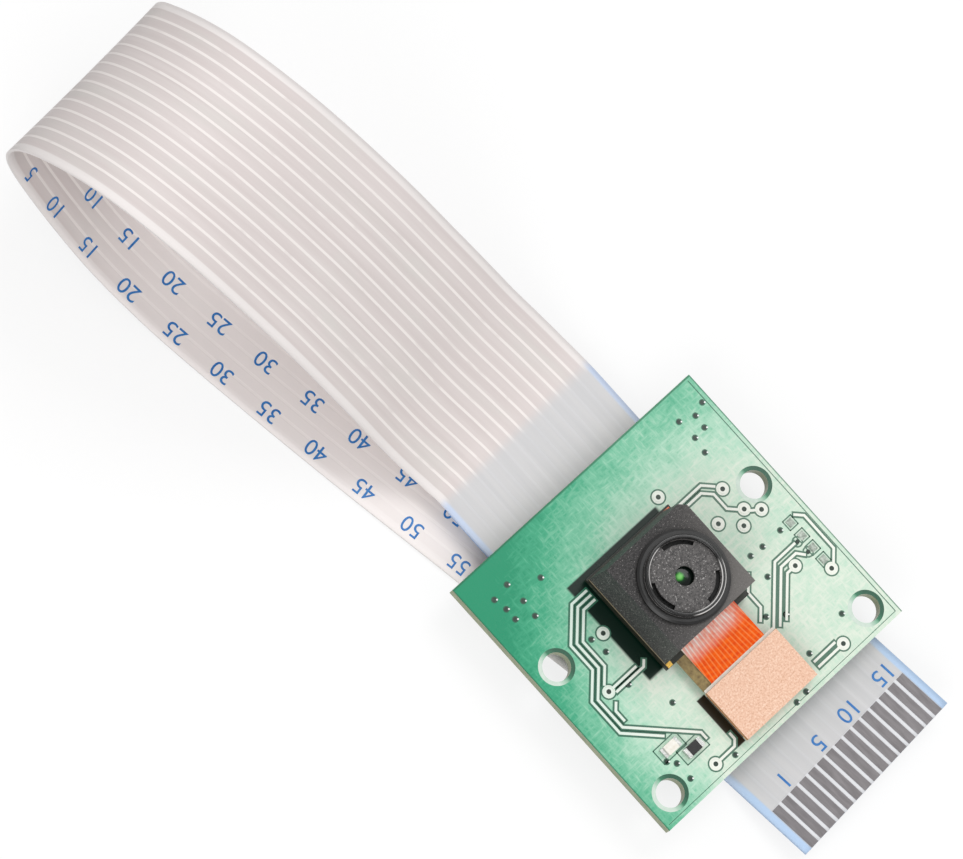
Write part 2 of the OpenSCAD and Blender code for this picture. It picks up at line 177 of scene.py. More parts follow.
def on_ribbon(v, u, lift):
    """The point v along the ribbon, u across it and lift off its middle, in millimetres."""
    low, high = 0, len(RINGS) - 1
    while high - low > 1:
        middle = (low + high) // 2
        if RINGS[middle][4] <= v:
            low = middle
        else:
            high = middle
    a, b = RINGS[low], RINGS[high]
    t = (v - a[4]) / (b[4] - a[4])
    place = a[0].lerp(b[0], t)
    across = a[2].lerp(b[2], t).normalized()
    outer = a[3].lerp(b[3], t).normalized()
    return place + u * across + lift * outer


def link_mesh(name, mesh, materials):
    """A new piece with these materials, riding on the board's body."""
    piece = bpy.data.objects.new(name, mesh)
    scene.collection.objects.link(piece)
    for material in materials:
        mesh.materials.append(material)
    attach(piece, "board")
    return piece


def ribbon_mesh():
    """The ribbon as one closed strip, with columns across it, in metres."""
    bm = bmesh.new()
    uv = bm.loops.layers.uv.new("ribbon")
    place = {}
    faces = {}
    for side in (1, -1):
        grid = []
        for ring in RINGS:
            line = []
            for c in range(RIBBON_COLUMNS + 1):
                u = RIBBON_W * (c / RIBBON_COLUMNS - 0.5)
                p = ring[0] + u * ring[2] + side * RIBBON_T / 2 * ring[3]
                vert = bm.verts.new(p * MM)
                place[vert] = (u, ring[4])
                line.append(vert)
            grid.append(line)
        faces[side] = grid
        for i in range(len(RINGS) - 1):
            for c in range(RIBBON_COLUMNS):
                quad = [grid[i][c], grid[i][c + 1], grid[i + 1][c + 1], grid[i + 1][c]]
                face = bm.faces.new(quad if side > 0 else quad[::-1])
                face.smooth = True
    top, low = faces[1], faces[-1]
    for i in range(len(RINGS) - 1):
        bm.faces.new([low[i][0], top[i][0], top[i + 1][0], low[i + 1][0]])
        bm.faces.new([top[i][-1], low[i][-1], low[i + 1][-1], top[i + 1][-1]])
    for c in range(RIBBON_COLUMNS):
        bm.faces.new([top[0][c], low[0][c], low[0][c + 1], top[0][c + 1]])
        bm.faces.new([low[-1][c], top[-1][c], top[-1][c + 1], low[-1][c + 1]])
    for face in bm.faces:
        for loop in face.loops:
            u, v = place[loop.vert]
            loop[uv].uv = (u * MM, v * MM)
    mesh = bpy.data.meshes.new("ribbon_strip")
    bm.to_mesh(mesh)
    bm.free()
    return mesh


# ---- node materials ----

def colour(code):
    """Linear colour of an sRGB hex code."""
    parts = [int(code[i:i + 2], 16) / 255 for i in (1, 3, 5)]
    return [c / 12.92 if c <= 0.04045 else ((c + 0.055) / 1.055) ** 2.4 for c in parts] + [1]


class Finish:
    """A node material put together step by step, with its scales in millimetres."""

    def __init__(self, name, **constants):
        self.material = bpy.data.materials.new(name)
        self.material.use_nodes = True
        self.tree = self.material.node_tree
        self.tree.nodes.clear()
        self.out = self.add("ShaderNodeOutputMaterial")
        self.bsdf = self.add("ShaderNodeBsdfPrincipled")
        self.join(self.bsdf.outputs[0], self.out.inputs[0])
        for key, value in constants.items():
            self.bsdf.inputs[key.replace("_", " ")].default_value = value

    def add(self, kind, **settings):
        made = self.tree.nodes.new(kind)
        for key, value in settings.items():
            setattr(made, key, value)
        return made

    def join(self, a, b):
        self.tree.links.new(a, b)

    def feed(self, socket, value):
        if isinstance(value, bpy.types.NodeSocket):
            self.join(value, socket)
        elif isinstance(value, str):
            socket.default_value = colour(value)
        else:
            socket.default_value = value

    def place(self, stretch=(1, 1, 1), source="Object"):
        """Object (or UV) coordinates in millimetres, stretched."""
        coords = self.add("ShaderNodeTexCoord")
        mapping = self.add("ShaderNodeMapping", vector_type="POINT")
        mapping.inputs["Scale"].default_value = [1000 * s for s in stretch]
        self.join(coords.outputs[source], mapping.inputs[0])
        return mapping.outputs[0]

    def axes(self, source="Object"):
        split = self.add("ShaderNodeSeparateXYZ")
        self.join(self.place(source=source), split.inputs[0])
        return split.outputs

    def facing(self):
        """Object-space normal, as three values."""
        coords = self.add("ShaderNodeTexCoord")
        split = self.add("ShaderNodeSeparateXYZ")
        self.join(coords.outputs["Normal"], split.inputs[0])
        return split.outputs

    def sum(self, kind, a, b=0.0, c=None, clamp=False):
        made = self.add("ShaderNodeMath", operation=kind, use_clamp=clamp)
        self.feed(made.inputs[0], a)
        self.feed(made.inputs[1], b)
        if c is not None:
            self.feed(made.inputs[2], c)
        return made.outputs[0]

    def distance(self, x, y, at_x, at_y):
        """Distance in plan from a point, in millimetres."""
        dx = self.sum("SUBTRACT", x, at_x)
        dy = self.sum("SUBTRACT", y, at_y)
        squares = self.sum("ADD", self.sum("MULTIPLY", dx, dx), self.sum("MULTIPLY", dy, dy))
        return self.sum("SQRT", squares)

    def noise(self, place, scale, detail=2.0, rough=0.5):
        made = self.add("ShaderNodeTexNoise")
        self.join(place, made.inputs["Vector"])
        made.inputs["Scale"].default_value = scale
        made.inputs["Detail"].default_value = detail
        made.inputs["Roughness"].default_value = rough
        return made.outputs["Fac"]

    def step(self, value, low, high, to_low=0.0, to_high=1.0):
        """Value mapped smoothly from low..high to to_low..to_high."""
        made = self.add("ShaderNodeMapRange", interpolation_type="SMOOTHSTEP")
        self.feed(made.inputs["Value"], value)
        made.inputs["From Min"].default_value = low
        made.inputs["From Max"].default_value = high
        made.inputs["To Min"].default_value = to_low
        made.inputs["To Max"].default_value = to_high
        return made.outputs["Result"]

    def band(self, value, rise, fall):
        """1 between two soft edges, each given as where it starts and where it ends."""
        return self.sum("MULTIPLY", self.step(value, *rise), self.step(value, *fall, 1.0, 0.0))

    def ramp(self, value, stops):
        made = self.add("ShaderNodeValToRGB")
        self.join(value, made.inputs[0])
        band = made.color_ramp
        while len(band.elements) < len(stops):
            band.elements.new(0.5)
        for element, (at, code) in zip(band.elements, stops):
            element.position = at
            element.color = colour(code)
        return made.outputs["Color"]

    def mix(self, share, a, b, kind="MIX"):
        made = self.add("ShaderNodeMix", data_type="RGBA", blend_type=kind)
        self.feed(made.inputs["Factor"], share)
        self.feed(made.inputs[6], a)
        self.feed(made.inputs[7], b)
        return made.outputs[2]

    def bump(self, height, depth, strength=1.0):
        """A bump of the given depth in millimetres."""
        made = self.add("ShaderNodeBump")
        self.join(height, made.inputs["Height"])
        made.inputs["Distance"].default_value = depth * MM
        made.inputs["Strength"].default_value = strength
        self.join(made.outputs[0], self.bsdf.inputs["Normal"])

    def set(self, key, value):
        self.feed(self.bsdf.inputs[key], value)

    def paint(self, value, rough=None):
        self.set("Base Color", value)
        if rough is not None:
            self.set("Roughness", rough)
        return self.material


def glare(f):
    """The pale sheen on the board: 1 round its front right, falling off towards the far left."""
    x, y, z = f.axes()
    away = f.distance(x, y, 4, -4)
    level = f.sum("ADD", f.sum("MULTIPLY_ADD", away, -0.08, 1.9), f.sum("MULTIPLY", x, 0.014))
    return f.sum("MINIMUM", level, 0.95)


MASK_TONES = [
    (0.0, "#1e946c"), (0.22, "#42aa82"), (0.45, "#7cc5a3"), (0.7, "#b5dfc6"), (1.0, "#e3eede"),
]


def weave(f):
    """Glass cloth showing through the mask, as short streaks both ways."""
    one = f.noise(f.place((0.9, 3.6, 1)), 1.0, 3.0, 0.6)
    two = f.noise(f.place((3.6, 0.9, 1)), 1.0, 3.0, 0.6)
    return f.sum("MAXIMUM", one, two)


def board_finish():
    f = Finish("solder_mask_green", IOR=1.5, Specular_IOR_Level=0.3)
    x, y, z = f.axes()
    level = glare(f)
    cloth = weave(f)
    level = f.sum("ADD", level, f.sum("MULTIPLY_ADD", cloth, 0.75, -0.44))
    patch = f.noise(f.place((1, 1, 1)), 0.45, 2.0)
    level = f.sum("ADD", level, f.sum("MULTIPLY_ADD", patch, 0.3, -0.15), clamp=True)
    front = f.ramp(level, MASK_TONES)
    # painted reflection and shade of the lens block on the glossy mask, dark on two sides of it
    image = f.sum(
        "MULTIPLY", f.band(x, (-6.0, -5.75), (3.4, 3.7)), f.band(y, (0.7, 0.95), (9.95, 10.1))
    )
    front = f.mix(image, front, "#052016")
    # painted contact shade beside the plate, dark brown, standing in for the shaded side of the
    # connector stack
    beside = f.sum(
        "MULTIPLY", f.band(x, (-4.3, -4.2), (-3.5, -3.4)), f.band(y, (-7.3, -7.2), (-2.7, -2.6))
    )
    front = f.mix(beside, front, "#2a2418")
    # a thin dark line along the two visible edges
    rim = f.sum("MAXIMUM", f.step(y, 15.42, 15.5), f.step(f.sum("ABSOLUTE", x), 12.38, 12.44))
    front = f.mix(f.sum("MULTIPLY", rim, 0.75), front, "#1c6b4c")
    n = f.facing()
    back = f.ramp(f.noise(f.place((0.9, 3.6, 1)), 1.0, 3.0), [(0.3, "#176a4a"), (0.7, "#2b8762")])
    face = f.mix(f.step(n[2], -0.5, -0.4, 1.0, 0.0), front, back)
    grain = f.noise(f.place((1.5, 1.5, 9)), 1.0, 3.0)
    edge = f.ramp(grain, [(0.3, "#6c7c56"), (0.7, "#a3a77c")])
    flat = f.step(f.sum("ABSOLUTE", n[2]), 0.4, 0.6)
    f.bump(cloth, 0.012, 0.5)
    rough = f.sum("MULTIPLY_ADD", patch, 0.2, 0.2)
    return f.paint(f.mix(flat, edge, face), rough)


def track_finish():
    f = Finish("covered_copper", IOR=1.5)
    level = f.sum("ADD", glare(f), f.sum("MULTIPLY_ADD", weave(f), 0.3, -0.05), clamp=True)
    tone = f.ramp(level, [(0.0, "#5bb592"), (0.3, "#9ad0b6"), (0.55, "#dbeee2"), (1.0, "#f3f6ec")])
    return f.paint(tone, 0.25)


def gap_finish():
    f = Finish("mask_over_gap", IOR=1.5)
    level = f.sum("ADD", glare(f), f.sum("MULTIPLY_ADD", weave(f), 0.5, -0.3), clamp=True)
    tone = f.ramp(level, [(0.0, "#145c42"), (0.4, "#1d6a4e"), (0.75, "#3d6f59"), (1.0, "#557a66")])
    return f.paint(tone, 0.3)


def pour_finish():
    """The mask's colour with the same painted glare, for the islands inside the dark rings."""
    f = Finish("mask_over_pour", IOR=1.5)
    level = f.sum("ADD", glare(f), f.sum("MULTIPLY_ADD", weave(f), 0.5, -0.15), clamp=True)
    tone = f.ramp(level, [(0.0, "#58ab88"), (0.35, "#9dd0b8"), (0.6, "#d3e9da"), (1.0, "#eff3e8")])
    return f.paint(tone, 0.28)


def hole_rim_finish():
    """Bare rim of a mounting hole, with painted shade towards +X and a painted highlight on the
    other side.
    """
    f = Finish("hole_rim", IOR=1.5)
    x, y, z = f.axes()
    side = f.sum("SUBTRACT", f.sum("ABSOLUTE", x), 10.5)
    away = f.sum("MULTIPLY", side, f.sum("SIGN", x))
    # painted shade on the +X side of each hole, painted highlight on the other side
    tone = f.ramp(
        f.step(away, -1.2, 1.2),
        [(0.1, "#dfeee2"), (0.45, "#8fc4a6"), (0.6, "#2f7a59"), (0.9, "#14503a")],
    )
    grain = f.noise(f.place(), 3.0, 3.0)
    return f.paint(f.mix(f.sum("MULTIPLY", grain, 0.3), tone, "#3a7a5c"), 0.3)


def plain_finish(name, low, high, scale, rough, depth=0.0, stretch=(1, 1, 1), **constants):
    """Two close tones mottled at a scale, with a matching bump."""
    f = Finish(name, **constants)
    grain = f.noise(f.place(stretch), scale, 4.0, 0.6)
    if depth:
        f.bump(grain, depth, 0.8)
    spread = f.sum("MULTIPLY_ADD", grain, 0.25, rough - 0.12)
    return f.paint(f.ramp(grain, [(0.3, low), (0.7, high)]), spread)


def speckled(f, low, mid, high, share):
    """Spark-eroded black plastic: fine grain with small bright points."""
    grain = f.noise(f.place(), 5.5, 4.0, 0.7)
    points = f.noise(f.place(), 9.0, 2.0, 0.6)
    tone = f.ramp(grain, [(0.35, low), (0.65, mid)])
    spark = f.step(points, share, share + 0.08)
    return f.mix(spark, tone, high), f.sum("ADD", grain, f.sum("MULTIPLY", spark, 0.5))


def holder_finish():
    f = Finish("holder_plastic", IOR=1.48)
    x, y, z = f.axes()
    rough_tone, height = speckled(f, "#1b1a1a", "#484646", "#9a9694", 0.6)
    radius = f.distance(x, y, *AXIS)
    collar = f.step(z, 6.02, 6.06)
    smooth_tone = f.ramp(f.noise(f.place(), 2.0, 3.0), [(0.3, "#131313"), (0.7, "#262525")])
    # lighter towards +X and -Y, where the block's top faces the light
    sheen = f.step(f.sum("SUBTRACT", x, f.sum("SUBTRACT", y, AXIS[1])), -4.0, 8.0, 0.0, 0.55)
    rough_tone = f.mix(sheen, rough_tone, "#8b8783")
    tone = f.mix(collar, rough_tone, smooth_tone)
    # painted shade: darker on the collar and round its foot on the top face
    collar_foot_shade = f.step(radius, 3.45, 3.75, 0.55, 0.0)
    tone = f.mix(f.sum("MULTIPLY", collar_foot_shade, f.step(z, 5.9, 5.98)), tone, "#0b0b0b")
    f.bump(f.sum("MULTIPLY", height, f.sum("SUBTRACT", 1.0, collar)), 0.05, 0.9)
    return f.paint(tone, f.sum("MULTIPLY_ADD", collar, -0.3, 0.62))


def barrel_finish():
    f = Finish("barrel_plastic", IOR=1.5)
    x, y, z = f.axes()
    face_tone, height = speckled(f, "#363535", "#696665", "#bbb8b6", 0.6)
    slot = f.step(z, 6.3, 6.5, 1.0, 0.0)
    face_tone = f.mix(slot, face_tone, "#0c0c0c")
    rim_tone = f.ramp(f.noise(f.place(), 3.0, 2.0), [(0.3, "#0a0a0a"), (0.7, "#191818")])
    rim = f.step(z, 6.63, 6.68)
    # painted highlights: bright arcs along the rim's two edges
    radius = f.distance(x, y, *AXIS)
    angle = f.sum("ARCTAN2", f.sum("SUBTRACT", y, AXIS[1]), f.sum("SUBTRACT", x, AXIS[0]))
    inner = f.step(f.sum("ABSOLUTE", f.sum("SUBTRACT", radius, 2.79)), 0.02, 0.05, 1.0, 0.0)
    outer = f.step(f.sum("ABSOLUTE", f.sum("SUBTRACT", radius, 3.04)), 0.02, 0.05, 1.0, 0.0)
    front_highlight_window = f.step(f.sum("COSINE", f.sum("ADD", angle, 1.2)), 0.55, 0.75)
    back_highlight_window = f.step(f.sum("COSINE", f.sum("SUBTRACT", angle, 2.2)), 0.8, 0.9)
    painted_highlight_arcs = f.sum("MULTIPLY", f.sum("MAXIMUM", inner, outer), front_highlight_window)
    painted_highlight_arcs = f.sum("MAXIMUM", painted_highlight_arcs, f.sum("MULTIPLY", inner, back_highlight_window))
    rim_tone = f.mix(painted_highlight_arcs, rim_tone, "#d8d6d4")
    flat = f.sum("SUBTRACT", 1.0, rim)
    f.bump(f.sum("MULTIPLY", height, flat), 0.05, 0.9)
    return f.paint(f.mix(rim, face_tone, rim_tone), f.sum("MULTIPLY_ADD", rim, -0.47, 0.6))


def lens_finish():
    """Coated front lens: deep green, with a painted bright green glint low in it."""
    f = Finish("lens_coated", IOR=1.52, Specular_IOR_Level=0.25)
    x, y, z = f.axes()
    # the painted glint is brightest round this point and fades out from it
    near = f.distance(x, y, -0.42, 5.2)
    drift = f.noise(f.place(), 2.2, 3.0)
    near = f.sum("ADD", near, f.sum("MULTIPLY_ADD", drift, 0.3, -0.15))
    tone = f.ramp(
        f.step(near, 0.05, 0.62),
        [(0.0, "#8be07a"), (0.3, "#3f9a3a"), (0.6, "#173f22"), (1.0, "#0a1510")],
    )
    return f.paint(tone, 0.08)


def flex_finish():
    f = Finish("flex_orange", IOR=1.45, Specular_IOR_Level=0.15)
    x, y, z = f.axes()
    # conductors fan out a little from the holder to the plate
    spread = f.sum("MULTIPLY_ADD", y, 0.05, 1.12)
    u = f.sum("MULTIPLY", f.sum("SUBTRACT", x, 0.05), spread)
    wave = f.sum("SINE", f.sum("MULTIPLY", u, 17.0))
    line = f.step(wave, 0.1, 0.9)
    tone = f.ramp(f.noise(f.place((1, 2.5, 1)), 1.6, 3.0), [(0.3, "#ea4600"), (0.7, "#ff6806")])
    tone = f.mix(f.sum("MULTIPLY", line, 0.4), tone, "#ffa860")
    # pale glare between the lines, next to the holder
    pale = f.step(y, -0.9, 0.75)
    drift = f.noise(f.place((2, 1, 1)), 1.3, 3.0)
    pale = f.sum("MULTIPLY", pale, f.step(drift, 0.3, 0.6, 0.45, 1.0))
    pale = f.sum("MULTIPLY", pale, f.step(x, 1.9, 2.7, 1.0, 0.25))
    pale = f.sum("MULTIPLY", pale, f.sum("MULTIPLY_ADD", line, 0.45, 0.55))
    tone = f.mix(pale, tone, "#fff3ec")
    n = f.facing()
    tone = f.mix(f.step(f.sum("ABSOLUTE", n[2]), 0.4, 0.6), "#b8a88a", tone)
    f.bump(line, 0.01, 0.4)
    return f.paint(tone, f.sum("MULTIPLY_ADD", drift, 0.15, 0.42))


def plate_finish():
    f = Finish("copper_plate", IOR=1.5, Metallic=0.15)
    grain = f.noise(f.place((1, 1, 1)), 7.0, 4.0, 0.7)
    broad = f.noise(f.place((0.6, 1, 1)), 0.8, 3.0)
    tone = f.ramp(grain, [(0.3, "#cf9a7c"), (0.5, "#efc4a8"), (0.7, "#ffe6d4")])
    tone = f.mix(f.sum("MULTIPLY", broad, 0.4), tone, "#e6b598")
    n = f.facing()
    flat = f.step(f.sum("ABSOLUTE", n[2]), 0.4, 0.6)
    f.bump(grain, 0.015, 0.8)
    return f.paint(f.mix(flat, "#b98a60", tone), 0.42)


def chip_finish(name, low, high, rough=0.45):
    return plain_finish(name, low, high, 6.0, rough, 0.01)


def ribbon_finish():
    """Flat conductors under a pale film, with stiffened plain ends; scales come from its UVs."""
    f = Finish("ribbon_film", IOR=1.45, Specular_IOR_Level=0.3)
    u, v, w = f.axes("UV")
    cell = f.sum("FRACT", f.sum("ADD", u, 100.5))
    gap = f.step(f.sum("ABSOLUTE", f.sum("SUBTRACT", cell, 0.5)), 0.37, 0.42)
    inside = f.step(f.sum("ABSOLUTE", u), 7.25, 7.35, 1.0, 0.0)
    gap = f.sum("MULTIPLY", gap, inside)
    long_grain = f.noise(f.place((1.6, 0.05, 1), source="UV"), 1.0, 3.0)
    conductor = f.ramp(long_grain, [(0.3, "#d9cfcd"), (0.7, "#e2d9d7")])
    haze = f.noise(f.place((0.4, 0.12, 1), source="UV"), 1.0, 3.0)
    conductor = f.mix(f.step(haze, 0.45, 0.75, 0.0, 0.35), conductor, "#dcdcd6")
    broken = f.step(f.noise(f.place((1, 0.4, 1), source="UV"), 1.0, 2.0), 0.3, 0.42, 0.55, 1.0)
    tone = f.mix(f.sum("MULTIPLY", gap, broken), conductor, "#f5eeeb")
    margin = f.step(f.sum("ABSOLUTE", u), 7.3, 7.42)
    tone = f.mix(margin, tone, "#f0eae8")
    # the lower run's inner face is paler, as the light from the paper fills it
    inner = f.sum("MULTIPLY", f.step(v, 66.0, 84.0), f.step(f.facing()[2], 0.2, 0.6))
    tone = f.mix(f.sum("MULTIPLY", inner, 0.8), tone, "#fbf4f2")
    # stiffened ends
    from_end = f.sum("SUBTRACT", LENGTH, v)
    near = f.sum("MINIMUM", v, from_end)
    stiff = f.step(near, END_L + 0.4, END_L + 1.6, 1.0, 0.0)
    faint = f.sum("MULTIPLY", gap, 0.2)
    plain = f.mix(faint, f.ramp(long_grain, [(0.3, "#cfcfd1"), (0.7, "#d8d7d8")]), "#e2e2e6")
    plain = f.mix(f.step(f.sum("ABSOLUTE", u), 7.45, 7.7), plain, "#ccd9f0")
    tone = f.mix(stiff, tone, plain)
    # bare strip between the contacts of the free end, with blue showing through beside them
    bare = f.step(from_end, CONTACT_L, CONTACT_L + 0.1, 1.0, 0.0)
    tone = f.mix(f.sum("MULTIPLY", bare, inside), tone, "#e9eaee")
    margin = f.step(f.sum("ABSOLUTE", u), 7.3, 7.5)
    beside = f.sum("MULTIPLY", f.step(from_end, 5.5, 9.5, 1.0, 0.0), margin)
    tone = f.mix(beside, tone, "#bcd5f3")
    f.bump(f.sum("ADD", f.sum("MULTIPLY", gap, -1.0), haze), 0.012, 0.5)
    return f.paint(tone, f.sum("MULTIPLY_ADD", haze, 0.2, 0.36))


def contact_finish():
    f = Finish("cable_contact", IOR=1.5, Metallic=0.3)
    grain = f.noise(f.place((4, 0.6, 1)), 1.0, 3.0)
    return f.paint(f.ramp(grain, [(0.3, "#6f6b6d"), (0.7, "#827e80")]), 0.4)


def ink_finish():
    f = Finish("print_ink", IOR=1.45)
    grain = f.noise(f.place(), 3.0, 3.0)
    return f.paint(f.ramp(grain, [(0.3, "#1f6db8"), (0.7, "#3a86cc")]), 0.4)


def dark_dot_finish():
    f = Finish("via_mouth", IOR=1.5)
    grain = f.noise(f.place(), 4.0, 2.0)
    return f.paint(f.ramp(grain, [(0.3, "#12261d"), (0.7, "#2c4437")]), 0.35)


def glint_finish():
    f = Finish("via_glint", IOR=1.5)
    grain = f.noise(f.place(), 6.0, 2.0)
    return f.paint(f.ramp(grain, [(0.3, "#e9f3ec"), (0.7, "#ffffff")]), 0.2)


TIN = plain_finish("tinned_copper", "#b4b6b4", "#d9dad6", 5.0, 0.32, 0.01, Metallic=0.85)
GOLD = plain_finish("gold_plate", "#c99a3c", "#e6c06a", 5.0, 0.3, 0.005, Metallic=0.9)
RIBBON = ribbon_finish()
STIFF = plain_finish("blue_stiffener", "#86abdc", "#a3c2ea", 2.5, 0.35, 0.005, (1, 0.3, 1))
CONTACT = contact_finish()
INK = ink_finish()
FINISHES = {
    "circuit_board": board_finish(),
    "front_traces": track_finish(),
    "solder_lands": plain_finish("land_tin", "#5f6d62", "#c4cdc2", 3.4, 0.35, 0.01, Metallic=0.3),
    "foam_pad": plain_finish("foam", "#141414", "#2a2a2a", 9.0, 0.9, 0.04),
    "base_plate": plain_finish("dark_laminate", "#15170f", "#26281c", 3.0, 0.4, 0.01),
    "corner_land": GOLD,
    "image_sensor": chip_finish("silicon", "#1b2026", "#333b46", 0.25),
    "infrared_filter": plain_finish("filter_glass", "#5b2a38", "#7a3a4c", 1.0, 0.1),
    "lens_holder": holder_finish(),
    "lens_barrel": barrel_finish(),
    "front_lens": lens_finish(),
    "middle_lens": plain_finish("lens_resin", "#142a20", "#203a2c", 1.0, 0.1),
    "rear_lens": plain_finish("lens_resin_rear", "#142a20", "#203a2c", 1.2, 0.1),
    "camera_flex": flex_finish(),
    "flex_edge_strip": plain_finish("brown_film", "#6a5424", "#a08a52", 3.0, 0.35, 0.01),
    "stiffener_tape": plain_finish("white_tape", "#ddd6c8", "#f4efe6", 2.0, 0.5, 0.005),
    "stiffener_plate": plate_finish(),
    "plug_housing": chip_finish("connector_plug", "#2b211b", "#44352b", 0.4),
    "socket_housing": chip_finish("connector_black", "#1b1815", "#332d28", 0.45),
    "socket_contacts": GOLD,
    "status_lamp": plain_finish("lamp_body", "#ece7da", "#faf8f0", 3.0, 0.3, 0.005),
    "lamp_resistor": chip_finish("resistor_body", "#141414", "#262626", 0.4),
    "front_end_caps": TIN,
    "cable_socket": plain_finish("connector_ivory", "#ded5c0", "#efe8d8", 3.0, 0.4, 0.01),
    "cable_latch": chip_finish("latch_plastic", "#17171a", "#2a2a2e", 0.4),
    "cable_socket_pins": GOLD,
    "cable_socket_tabs": TIN,
    "regulators": chip_finish("chip_epoxy", "#1a1a1b", "#2c2c2d", 0.5),
    "regulator_leads": TIN,
    "oscillator": plain_finish(
        "oscillator_can", "#c2c3c0", "#dedfdb", 4.0, 0.3, 0.01, (1, 4, 1), Metallic=0.7
    ),
    "bypass_capacitors": chip_finish("ceramic_body", "#a98a63", "#c6a97f", 0.4),
    "back_end_caps": TIN,
    "ribbon_cable": RIBBON,
    "fitted_stiffener": STIFF,
    "fitted_contacts": CONTACT,
    "free_stiffener": STIFF,
    "free_contacts": CONTACT,
}


def finish_nodes():
    for name, material in FINISHES.items():
        mesh = nodes[name].data
        mesh.materials.clear()
        mesh.materials.append(material)


finish_nodes()


# ---- ribbon and its print ----

def printed_row(name, words, size, spot):
    """Words laid on the ribbon's inner face; spot gives v and u for a word and a point in it."""
    bm = bmesh.new()
    lift = -(RIBBON_T / 2 + 0.012)
    for k, word in enumerate(words):
        data = bpy.data.curves.new("digits", "FONT")
        data.body = word
        data.size = size
        data.resolution_u = 4
        holder = bpy.data.objects.new("digits", data)
        scene.collection.objects.link(holder)
        bpy.context.view_layer.update()
        shape = holder.evaluated_get(bpy.context.evaluated_depsgraph_get()).to_mesh()
        made = [
            bm.verts.new(on_ribbon(*spot(k, vert.co.x, vert.co.y), lift) * MM)
            for vert in shape.vertices
        ]
        for face in shape.polygons:
            bm.faces.new([made[i] for i in face.vertices])
        bpy.data.objects.remove(holder)
    mesh = bpy.data.meshes.new(name)
    bm.to_mesh(mesh)
    bm.free()
    return link_mesh(name, mesh, [INK])


def dress_ribbon():
    ribbon = link_mesh("ribbon_strip", ribbon_mesh(), [RIBBON])
    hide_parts("ribbon_cable")
    # plain scales of numbers: two along the lower run and one across the free end
    scale = [str(5 * k) for k in range(1, 17)]
    contacts = LENGTH - CONTACT_L
    marks = [
        printed_row("ribbon_print_a", scale, 1.8, lambda k, x, y: (66 + 4.5 * k - x, -6.3 - y)),
        printed_row("ribbon_print_b", scale, 1.8, lambda k, x, y: (68 + 4.5 * k - x, -3.5 - y)),
        printed_row(
            "ribbon_print_c", ["15", "10", "5", "1"], 1.9,
            lambda k, x, y: (contacts - 1.6 + y, 7.2 - 3.9 * k - x),
        ),
    ]


dress_ribbon()


# ---- flat details on the board's front ----

TRACKS = [
    [(-4.8, 8.9), (-6.4, 8.9), (-8.6, 6.7), (-8.6, 4.3), (-10.3, 2.6), (-10.3, -0.5), (-7.9, -2.9)],
    [(-4.8, 8.45), (-6.2, 8.45), (-8.15, 6.5), (-8.15, 4.1), (-9.85, 2.4), (-9.85, -0.3),
     (-5.6, -4.55), (-5.6, -5.2)],
    [(-4.8, 8), (-6, 8), (-7.7, 6.3), (-7.7, 3.9), (-8.75, 2.85)],
    [(-9.4, -0.1), (-9.4, 0.9), (-8.9, 1.4)],
    [(-8.4, 2.3), (-5.9, 2.3)],
    [(-8.4, 1.9), (-5.5, 1.9), (-5.1, 2.3)],
    [(-6, -7), (-4.4, -7), (-4, -6.6), (-4, -6)],
    [(4.6, 8.9), (7.3, 8.9), (8.1, 8.1)],
    [(4.6, 8.45), (6.9, 8.45), (7.6, 7.75), (7.6, 6.3), (8.25, 5.65)],
    [(8.75, 5.1), (9.3, 4.7)],
    [(9.8, 0.95), (7.6, 0.95), (3.9, -2.75)],
    [(9.8, -0.25), (9.3, 0.35), (7.7, 0.35), (4.5, -2.85)],
    [(8.2, -0.3), (7.75, -0.3), (5.2, -2.85)],
    [(5.5, 1.7), (4.4, 0.6), (4.4, -0.8), (3.6, -1.6)],
    [(11.2, 2.6), (11.8, 2), (11.8, -1.3), (11, -2.1)],
    [(7, -7), (4.6, -7)],
    [(6.9, -6.5), (4.6, -6.5)],
]
LANDS = [
    (-6.1, 5.75), (-6.4, -7), (-8.8, 2.3), (4.2, 10.4), (8.4, 7.6), (8.6, 5.4), (9.6, 4.5),
    (7.7, 4.5), (6.3, 5.9), (8.6, -0.3), (10.6, -2.3), (7.3, -7),
]
VIAS = [
    (-9.1, 13.2), (-10.6, 13), (-10.4, 11.9), (-10.4, 10.9), (-9, 11.5), (-9.1, 10.1),
    (-6.8, 11.9), (-7.1, 6), (-6.9, 4.6), (-7.3, 1.7), (-5.7, -1.5), (-8.6, -5), (-8.6, -6.5),
    (-9.1, -4.4), (11.8, 13.4), (10.7, 13), (9.4, 13.5), (10.6, 11.9), (9.5, 11.8),
    (9.3, 10.5), (9.6, 2.4), (7.7, 2.4), (6.5, 2.5), (6.4, 0.5), (4.2, -1.6), (8.8, -5.3),
    (5.5, -2.5), (4.8, -5.8), (2.6, -7.7), (1.5, -7.8), (-4.8, -7.5),
]
SMALL_RINGS = [(10, 0.9), (10.1, -0.2)]
# small outlines round the lamp, the resistor and the four lands: x, y, width, length
PART_FRAMES = [(-8.2, -3.8, 2.3, 1.3), (-6.9, -5.0, 2.3, 1.3)]
LAND_FRAMES = [(10.6, y, 0.84, 0.88) for y in (2.3, 1.0, -0.2, -1.4)]
HOLES = [(sx * 10.5, sy * 6.25) for sx in (-1, 1) for sy in (-1, 1)]
# material slots of the board's print
GAP, POUR, DOT, GLINT, RIM = range(5)
# its heights just above the mask, so that pieces which cross never share one
GAP_Z, RING_Z, DOT_Z, POUR_Z, GLINT_Z, MOUTH_Z = (
    BOARD_T + lift for lift in (0.006, 0.009, 0.012, 0.015, 0.018, 0.047)
)


